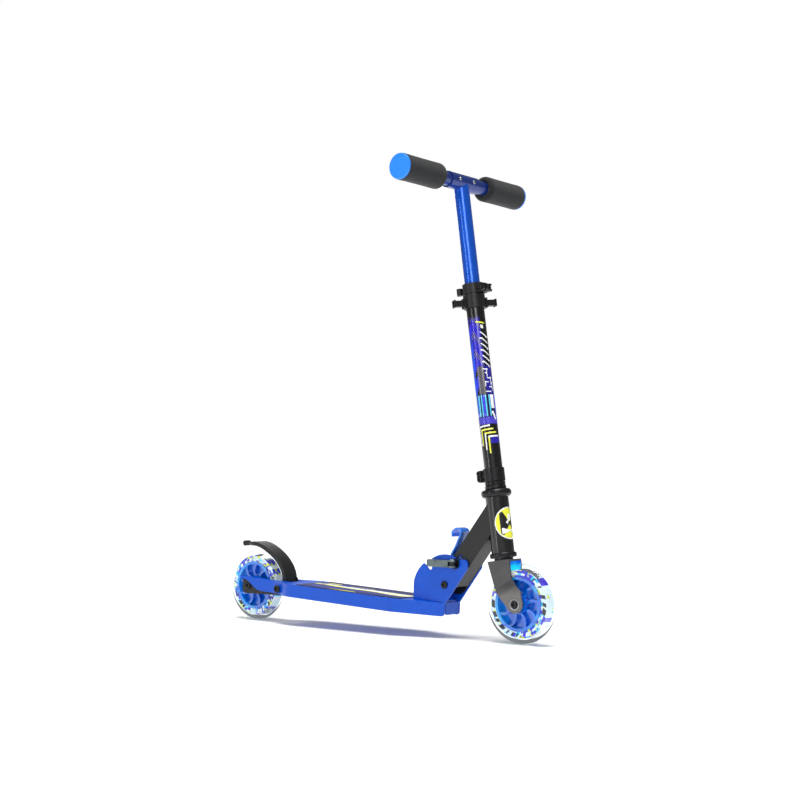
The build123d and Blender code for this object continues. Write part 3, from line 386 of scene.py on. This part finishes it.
def hub_material(name, tyre):
    """Glossy blue hub with the cyan light of the wheel on its spokes and its two rings."""
    m = Mat(name, "#0064d8", 0.1, coat=1.0, coat_rough=0.02, Subsurface_Weight=0.1, Subsurface_Scale=0.004)
    r = m.about_wheel(tyre)[2]
    soft = m.noise(34, 2.0)
    return m.paint((m.mottle(60, 0.4), "#0250b8"),
                   (r.ramp(24, 40) * soft.ramp(0.46, 0.62) * 0.75, "#16a8f6"),
                   (r.between(17.5, 19.0) * soft.ramp(0.4, 0.6) * 0.7, "#22bcf8"),
                   (r.between(35.6, 37.0) * 0.5, "#1c9cf4"))


M["foam"] = foam_material()
M["fork_paint"] = fork_material()
M["clear_tyre"] = clear_material()
M["stem_print"] = stem_material()
M["deck_print"] = tape_material()
for wheel, seed in (("front", 2.0), ("rear", 7.0)):
    M[f"{wheel}_hub"] = hub_material(f"{wheel}_hub", f"{wheel}_tyre")
    M[f"{wheel}_print"] = print_material(f"{wheel}_print", f"{wheel}_tyre", seed)

# CAD nodes take the material of their slot, apart from these.
OWN = {"lower_stem": "stem_print", "bar_sleeve": "blue_dark", "handle_tube_left": "blue_dark",
       "handle_tube_right": "blue_dark", "release_hook": "blue_hook", "front_print_ring": "front_print",
       "rear_print_ring": "rear_print", "down_tube": "black_satin", "rear_dropout_left": "black_satin",
       "rear_dropout_right": "black_satin", "fork": "fork_paint", "fold_lever": "lever_metal",
       "front_hub": "front_hub", "rear_hub": "rear_hub"}
slot_of = {part["node"]: part["material_slot"] for part in frame["record"]["subparts"]}
for name, obj in NODES.items():
    obj.data.materials.clear()
    obj.data.materials.append(M[OWN.get(name, slot_of[name])].mat)

# Rolled edges of sheet and moulded nodes, in millimetres.
BEVELS = {"deck": 0.7, "hinge_plate_left": 0.45, "hinge_plate_right": 0.45, "fork": 0.5, "down_tube": 0.8,
          "fold_lever": 0.5, "brake_fender": 0.6, "lower_clamp": 0.5, "height_clamp": 0.5, "handle_clip": 0.4,
          "release_hook": 0.35, "clamp_lever": 0.5, "rear_dropout_left": 0.4, "rear_dropout_right": 0.4}
for name, width in BEVELS.items():
    mod = NODES[name].modifiers.new("edge_roll", "BEVEL")
    mod.width, mod.segments, mod.limit_method = width * MM, 2, "ANGLE"
    mod.angle_limit, mod.harden_normals = math.radians(40), True


# ------------------------------------------------------------------ mesh helpers
def mesh_object(name, verts, faces, material, body):
    """A smooth piece that rides on a body and takes the named material."""
    mesh = bpy.data.meshes.new(name)
    mesh.from_pydata([tuple(v) for v in verts], [], faces)
    mesh.validate()
    obj = bpy.data.objects.new(name, mesh)
    scene.collection.objects.link(obj)
    obj.data.materials.append(M[material].mat)
    for poly in mesh.polygons:
        poly.use_smooth = True
    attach(obj, body)
    return obj


def fix_normals(obj):
    bm = bmesh.new()
    bm.from_mesh(obj.data)
    bmesh.ops.recalc_face_normals(bm, faces=bm.faces)
    bm.to_mesh(obj.data)
    bm.free()


def turned_faces(n, steps):
    """The faces of a closed outline of n points that is turned in steps."""
    faces = []
    for k in range(steps):
        here, there = k * n, (k + 1) % steps * n
        for i in range(n):
            j = (i + 1) % n
            faces.append((here + i, here + j, there + j, there + i))
    return faces


def arc(r, a0, a1, n):
    """Points on a circle about 0, 0, from a0 to a1 degrees in n steps."""
    turns = [math.radians(a0 + (a1 - a0) * k / n) for k in range(n + 1)]
    return [(r * math.cos(a), r * math.sin(a)) for a in turns]


def on_stem(turn, r, s):
    """A point of the steering frame, from a turn in radians, and a radius and height in millimetres."""
    return FOOT + UP * (s * MM) + AHEAD * (r * MM * math.cos(turn)) + SIDE * (r * MM * math.sin(turn))


# ------------------------------------------------------------------ foam grips
GRIP_STEPS = 96                        # steps round a grip
BARREL_STEPS = 24                      # steps along its barrel
BORE, EDGE, SHOULDER = 0.545, 0.06, 0.30        # bore and rounds of the outer and inner ends, per radius


def foam_grip(side):
    """A barrel of foam with a crisp outer end and a soft shoulder at its inner end."""
    node = f"grip_{side}"
    lo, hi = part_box(node)
    mid, r = (lo + hi) / 2, (hi.z - lo.z) / 2
    half = (hi.y - lo.y) / 2
    bore, edge, shoulder = r * BORE, r * EDGE, r * SHOULDER
    outward = 1 if side == "left" else -1
    outline = [(half, bore), (half * 0.998, r * 0.62), (half, r * 0.86)]
    outline += [(half - edge + dx, r - edge + dr) for dx, dr in arc(edge, 0, 90, 4)]
    start, stop = half * 0.93, -half + r * 0.32
    for k in range(1, BARREL_STEPS):
        t = k / BARREL_STEPS
        waist, ripple = 0.012 * math.sin(math.pi * t), 0.002 * math.sin(23 * t)
        outline.append((start + (stop - start) * t, r * (1 - waist + ripple)))
    outline += [(-half + shoulder + dx, r - shoulder + dr) for dx, dr in arc(shoulder, 90, 180, 7)]
    outline += [(-half + r * 0.01, bore + r * 0.09), (-half + r * 0.06, bore)]
    verts = []
    for k in range(GRIP_STEPS):
        a = math.tau * k / GRIP_STEPS
        for along, rad in outline:
            verts.append(mid + Vector((rad * math.cos(a), along * outward, rad * math.sin(a))))
    faces = turned_faces(len(outline), GRIP_STEPS)
    obj = mesh_object(f"foam_grip_{side}", verts, faces, "foam", f"handle_{side}")
    fix_normals(obj)
    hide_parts(node)


for side in ("left", "right"):
    foam_grip(side)

# ------------------------------------------------------------------ prints on the lower stem
DEG = STEM_R * math.pi / 180           # arc length of one degree round the lower stem
PROUD, SUNK = 0.12, 0.02               # how far the faces of a print stand off the stem
ACROSS, ALONG = 1.2, 6                 # longest face of a print round the stem and along it


def patch(*corners):
    """Four corners of (degrees round the stem, height), with the degrees as arc lengths."""
    return [(a * DEG, s) for a, s in corners]


def upright(a0, a1, s0, s1):
    """An upright block between two turns and two heights."""
    return patch((a0, s0), (a1, s0), (a1, s1), (a0, s1))


def strip(a0, s0, a1, s1, width):
    """A slanted bar from one point to another; width is measured up the stem."""
    return patch((a0, s0), (a1, s1), (a1, s1 - width), (a0, s0 - width))


def raised_prints(label, patches):
    """One piece of thin raised prints on the lower stem, from patches of four corners."""
    verts, faces = [], []
    for (a0, s0), (a1, s1), (a2, s2), (a3, s3) in patches:
        nu = max(2, int(max(abs(a1 - a0), abs(a2 - a3)) / ACROSS) + 1)
        nv = max(int(abs(s3 - s0) / ALONG), int(abs(a3 - a0) / ACROSS)) + 1
        base = len(verts)
        for height in (PROUD, SUNK):
            for j in range(nv + 1):
                for i in range(nu + 1):
                    p, q = i / nu, j / nv
                    a = (a0 * (1 - p) + a1 * p) * (1 - q) + (a3 * (1 - p) + a2 * p) * q
                    s = (s0 * (1 - p) + s1 * p) * (1 - q) + (s3 * (1 - p) + s2 * p) * q
                    verts.append(on_stem(a / STEM_R, STEM_R + height, s))
        w, size = nu + 1, (nu + 1) * (nv + 1)
        for j in range(nv):
            for i in range(nu):
                k = base + j * w + i
                faces.append((k, k + 1, k + 1 + w, k + w))
                k += size
                faces.append((k, k + w, k + 1 + w, k + 1))
        edge = list(range(w)) + [w * (j + 1) + nu for j in range(nv)]
        edge += [w * nv + nu - 1 - j for j in range(nu)] + [w * (nv - 1 - j) for j in range(nv - 1)]
        for a, b in zip(edge, edge[1:] + edge[:1]):
            faces.append((base + b, base + a, base + a + size, base + b + size))
    mesh_object(f"stem_{label}", verts, faces, label, "steer")


white, cyan, yellow, violet = [], [], [], []
yellow.append(strip(-64, 437.0, -4, 434.6, 2.2))
white.append(strip(-34, 431, -16, 430, 5.4))
BARS, BARS_TOP, BAR_PITCH, BAR_DROP = 6, 420, 9.3, 9.5
for k in range(BARS):                  # slanted bars, each with a foot to one side or the other
    top = BARS_TOP - k * BAR_PITCH
    foot, level = (-50, top) if k % 2 else (-4, top - 7.2)
    white.append(patch((-48, top), (-36, top), (14, top - BAR_DROP), (2, top - BAR_DROP)))
    white.append(strip(foot, level, foot + 20, level, 2.2))
for s0, a0, a1 in ((362, -52, -18), (356, -40, -28), (348, -30, 4),
                   (342, -46, -20), (334, -20, 10), (327, -44, -8)):
    white.append(strip(a0, s0, a1, s0 - 0.6, 1.5))
for a, s0, s1 in ((-30, 362, 349), (-6, 349, 336), (2, 341, 327), (-46, 342, 334)):
    white.append(upright(a, a + 5, s0, s1))
BLOCK_TOP, BLOCK_FOOT = HATCH_FOOT - 1, BLOCKS_FOOT + 1
for a, w in ((-132, 8), (-106, 12), (-84, 8), (-58, 9), (-34, 9), (30, 12), (60, 10), (110, 12), (150, 10)):
    cyan.append(upright(a, a + w, BLOCK_TOP, BLOCK_FOOT))
white.append(upright(-22, 4, BLOCK_TOP, 300))
for a, w in ((-122, 14), (-74, 14), (8, 16)):
    violet.append(upright(a, a + w, BLOCK_TOP, BLOCK_FOOT))
white.append(patch((-24, 294), (-12, 296), (10, 284), (-2, 282)))
HOOKS = ((-128, -46, 274, 243, white, white), (-112, -26, 268.5, 243, yellow, yellow),
         (-88, -8, 263, 236, yellow, white), (-66, 8, 257.5, 230, white, yellow))
for a0, a1, s0, tail, bar, leg in HOOKS:
    bar.append(strip(a0, s0, a1, s0 + 0.8, 2.4))
    leg.append(patch((a0 + 1, s0 - 2.2), (a0 + 10, s0 - 2.2), (a0 + 10, tail), (a0 + 1, tail + 1)))
raised_prints("white_print", white)
raised_prints("cyan_print", cyan)
raised_prints("yellow_print", yellow)
raised_prints("violet_print", violet)

# ------------------------------------------------------------------ head badge
BADGE_R, BADGE_S = 24.5, 122.6         # its radius, and the height of its middle
BADGE_RINGS, DISC_SIDES, CORNER_STEPS = 12, 64, 6
BADGE_SUNK = 0.01                      # the rim of each layer ends this far off the head tube


def badge_layer(name, outline, material, proud):
    """A filled outline of (arc length, height) wrapped on the head tube, in rings from its middle."""
    n = len(outline)
    mid_a, mid_s = sum(a for a, s in outline) / n, sum(s for a, s in outline) / n
    verts, faces = [on_stem(mid_a / HEAD_R, HEAD_R + proud, mid_s)], []
    for k in range(1, BADGE_RINGS + 1):
        for a, s in outline:
            part_a, part_s = (a - mid_a) * k / BADGE_RINGS, (s - mid_s) * k / BADGE_RINGS
            verts.append(on_stem((mid_a + part_a) / HEAD_R, HEAD_R + proud, mid_s + part_s))
    for a, s in outline:
        verts.append(on_stem(a / HEAD_R, HEAD_R + BADGE_SUNK, s))
    for i in range(n):
        j = (i + 1) % n
        faces.append((0, 1 + i, 1 + j))
        for k in range(BADGE_RINGS):
            a, b = 1 + k * n, 1 + (k + 1) * n
            faces.append((a + i, b + i, b + j, a + j))
    fix_normals(mesh_object(name, verts, faces, material, "neck"))


def disc(r):
    turns = [math.tau * k / DISC_SIDES for k in range(DISC_SIDES)]
    return [(r * math.cos(a), BADGE_S + r * math.sin(a)) for a in turns]


def rounded_panel(w, h, r, mid_s):
    """A panel w and h from its middle to its sides, with corners of radius r."""
    points = []
    for sx, sy, a in ((1, 1, 0), (-1, 1, 90), (-1, -1, 180), (1, -1, 270)):
        points += [(sx * (w - r) + x, mid_s + sy * (h - r) + y) for x, y in arc(r, a, a + 90, CORNER_STEPS)]
    return points


badge_layer("badge_rim", disc(BADGE_R), "white_print", 0.18)
badge_layer("badge_ring", disc(BADGE_R - 1.5), "yellow_print", 0.26)
badge_layer("badge_panel", rounded_panel(16.5, 18.0, 5.0, BADGE_S), "black_print", 0.34)
badge_layer("badge_bar", rounded_panel(14.5, 4.6, 1.6, BADGE_S - 11.5), "white_print", 0.42)
badge_layer("badge_mark", [(-7, BADGE_S + 1), (-3.6, BADGE_S - 1.4), (4, BADGE_S + 5), (3.8, BADGE_S + 12),
                           (0.6, BADGE_S + 15), (-2.8, BADGE_S + 12), (-2.4, BADGE_S + 6)], "white_print", 0.42)

# ------------------------------------------------------------------ small trim: screws and axle rings
TRIM_STEPS = 40


def turned(name, outline, origin, axis, material, body):
    """A turned piece: a closed outline of (along, radius) in millimetres about any axis."""
    axis = Vector(axis).normalized()
    flat = axis.orthogonal().normalized()
    other = axis.cross(flat)
    verts = []
    for k in range(TRIM_STEPS):
        a = math.tau * k / TRIM_STEPS
        across = flat * math.cos(a) + other * math.sin(a)
        for along, r in outline:
            verts.append(Vector(origin) + (axis * along + across * r) * MM)
    obj = mesh_object(name, verts, turned_faces(len(outline), TRIM_STEPS), material, body)
    fix_normals(obj)
    obj.modifiers.new("sharp", "EDGE_SPLIT").split_angle = math.radians(50)


def screw(name, r, origin, axis, material, body):
    """A domed screw head with a round socket, seated a little under the surface."""
    outline = [(-0.6, 0.02), (-0.6, r * 0.96), (0.4, r), (1.0, r * 0.86), (1.35, r * 0.5), (0.2, r * 0.44),
               (0.2, 0.02)]
    turned(name, outline, origin, axis, material, body)


def ring(name, r0, r1, height, origin, axis, material, body):
    """A flat ring with a sloped rim, seated a little under the surface."""
    rim = height * 0.6
    outline = [(-0.3, r0), (-0.3, r1), (rim, r1), (height, r1 - 0.5), (height, r0 + 0.5), (rim, r0)]
    turned(name, outline, origin, axis, material, body)


fender_lo, fender_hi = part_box("brake_fender")
# Each screw is so far ahead of the fender's front, and above its lowest point.
for k, (ahead, up) in enumerate(((-7.1, 32.5), (-4.7, 19.0))):
    screw(f"fender_screw_{k}", 2.0, (fender_hi.x + ahead * MM, 0, fender_lo.z + up * MM), (0.97, 0, 0.24),
          "black_steel", "fender")
pivot_x, pivot_y = JOINTS["fold_lever_open"]["pos_m"][:2]
lever_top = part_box("fold_lever")[1].z
screw("fold_lever_screw", 4.2, (pivot_x, pivot_y, lever_top), (0, 0, 1), "steel", "fold_lever")
axle_lo, axle_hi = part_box("front_axle")
axle_mid = (axle_lo + axle_hi) / 2
for side, y, out in (("right", axle_lo.y + 3.7 * MM, -1), ("left", axle_hi.y - 6.4 * MM, 1)):
    ring(f"front_axle_ring_{side}", 6.3, 8.6, 1.0, (axle_mid.x, y, axle_mid.z), (0, out, 0),
         "steel", "steer")

# ------------------------------------------------------------------ floor, light and camera
FLOOR_HALF, FLOOR_Z = 9, -0.0004       # half its width and its height, just under the wheels, in metres
WORLD = 0.2                            # studio light that comes from all round
floor_mesh = bpy.data.meshes.new("floor")
floor_corners = [(x * FLOOR_HALF, y * FLOOR_HALF, FLOOR_Z) for x, y in ((-1, -1), (1, -1), (1, 1), (-1, 1))]
floor_mesh.from_pydata(floor_corners, [], [(0, 1, 2, 3)])
floor = bpy.data.objects.new("floor", floor_mesh)
scene.collection.objects.link(floor)
floor.data.materials.append(Mat("floor", "#fbfbfb", 0.9, Specular_IOR_Level=0.1).mat)

# The camera sees a white world, and everything else is lit by a dimmer one.
scene.world = bpy.data.worlds.new("studio")
scene.world.use_nodes = True
tree = scene.world.node_tree
seen, shade = tree.nodes["Background"], tree.nodes.new("ShaderNodeBackground")
for node, strength in ((seen, 1.0), (shade, WORLD)):
    node.inputs["Color"].default_value = (1, 1, 1, 1)
    node.inputs["Strength"].default_value = strength
path, pick = tree.nodes.new("ShaderNodeLightPath"), tree.nodes.new("ShaderNodeMixShader")
tree.links.new(path.outputs["Is Camera Ray"], pick.inputs[0])
tree.links.new(shade.outputs[0], pick.inputs[1])
tree.links.new(seen.outputs[0], pick.inputs[2])
tree.links.new(pick.outputs[0], tree.nodes["World Output"].inputs[0])


def area(name, place, target, size, power, size_y=None):
    data = bpy.data.lights.new(name, "AREA")
    data.energy, data.size = power, size
    if size_y:
        data.shape, data.size_y = "RECTANGLE", size_y
    obj = bpy.data.objects.new(name, data)
    scene.collection.objects.link(obj)
    obj.location = place
    obj.rotation_euler = (Vector(target) - Vector(place)).to_track_quat("-Z", "Y").to_euler()


sun = bpy.data.lights.new("overhead", "SUN")
sun.energy, sun.angle = 3.5, math.radians(30)
overhead = bpy.data.objects.new("overhead", sun)
scene.collection.objects.link(overhead)
overhead.rotation_euler = (math.radians(8), math.radians(6), 0)
area("key", (1.7, -2.1, 1.5), (0, 0, 0.3), 1.0, 17)
area("tall_strip", (-0.5, -2.1, 0.6), (0.15, 0, 0.4), 0.16, 7, 1.5)
area("rim", (-1.6, 1.4, 1.4), (0, 0, 0.3), 1.0, 8)

CAMERA = Vector((1.48740, -1.76183, 0.24660))
LENS, SENSOR = 63.44, 36.0             # millimetres
YAW, PITCH, ROLL = math.radians(39.4), math.radians(-3.19), math.radians(0.33)
look = Vector((-math.sin(YAW) * math.cos(PITCH), math.cos(YAW) * math.cos(PITCH), -math.sin(PITCH)))
level = Vector((math.cos(YAW), math.sin(YAW), 0))
above = level.cross(look)
right = level * math.cos(ROLL) + above * math.sin(ROLL)
above = above * math.cos(ROLL) - level * math.sin(ROLL)
cam_data = bpy.data.cameras.new("camera")
cam_data.lens, cam_data.sensor_width = LENS, SENSOR
cam = bpy.data.objects.new("camera", cam_data)
scene.collection.objects.link(cam)
cam.matrix_world = Matrix([(right[k], above[k], -look[k], CAMERA[k]) for k in range(3)] + [(0, 0, 0, 1)])
scene.camera = cam
scene.view_settings.view_transform = "Standard"

bpy.context.view_layer.update()
